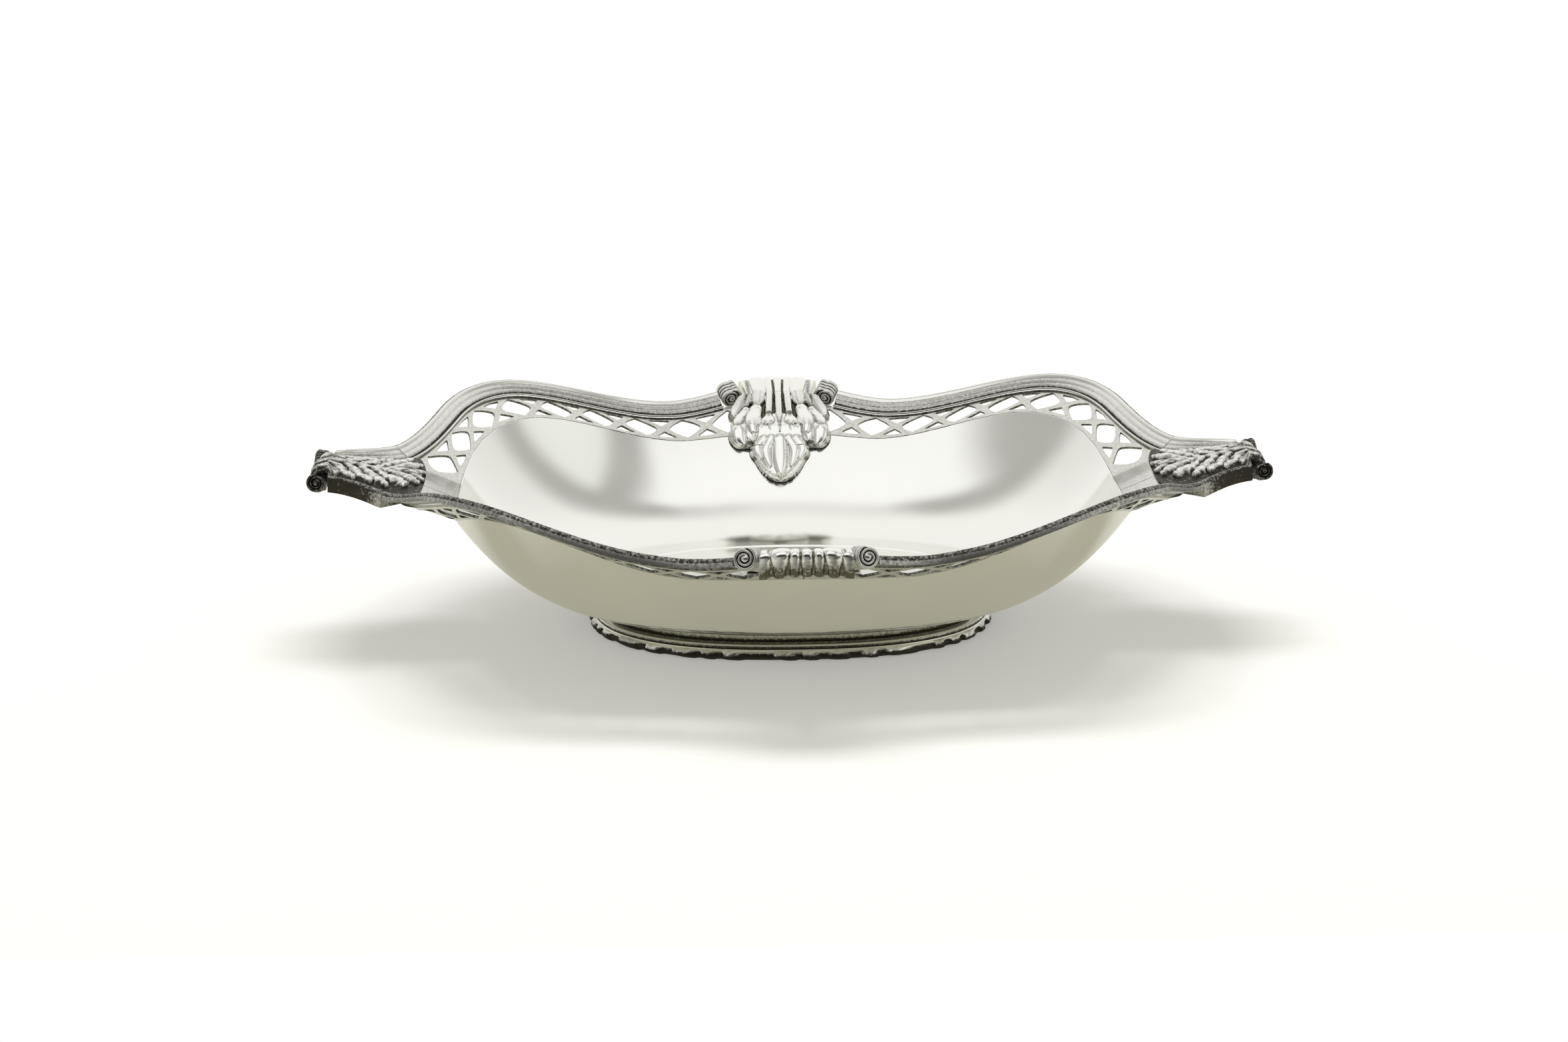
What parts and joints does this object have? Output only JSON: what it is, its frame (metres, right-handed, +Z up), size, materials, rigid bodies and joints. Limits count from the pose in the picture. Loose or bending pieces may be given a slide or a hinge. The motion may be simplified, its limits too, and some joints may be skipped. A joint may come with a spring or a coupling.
{
  "type": "pierced dish",
  "caption": "Oval silver dish on a stepped foot, with a pierced trellis border, wavy moulded rim, shell cartouches and scrolled leaf handles; holds bread or cake.",
  "frame": {"origin": "centre of the face the foot stands on", "axes": "+X towards the right handle, +Y towards the back long side, +Z up"},
  "size_m": [0.3798, 0.2544, 0.076],
  "materials": {
    "raised_silver": "polished, with fine wear marks",
    "cast_silver": "polished high points over darkened recesses"
  },
  "bodies": {
    "root": {"bowl": "raised_silver", "foot_riser": "raised_silver", "gallery_front_left": "raised_silver", "gallery_front_right": "raised_silver", "gallery_back_left": "raised_silver", "gallery_back_right": "raised_silver", "foot_border": "cast_silver", "cartouche_front": "cast_silver", "cartouche_back": "cast_silver", "handle_leaf_left": "cast_silver", "handle_leaf_right": "cast_silver", "rim_moulding_front_left": "cast_silver", "side_scroll_front_left": "cast_silver", "handle_scroll_front_left": "cast_silver", "rim_moulding_front_right": "cast_silver", "side_scroll_front_right": "cast_silver", "handle_scroll_front_right": "cast_silver", "rim_moulding_back_left": "cast_silver", "side_scroll_back_left": "cast_silver", "handle_scroll_back_left": "cast_silver", "rim_moulding_back_right": "cast_silver", "side_scroll_back_right": "cast_silver", "handle_scroll_back_right": "cast_silver"}
  },
  "joints": []
}
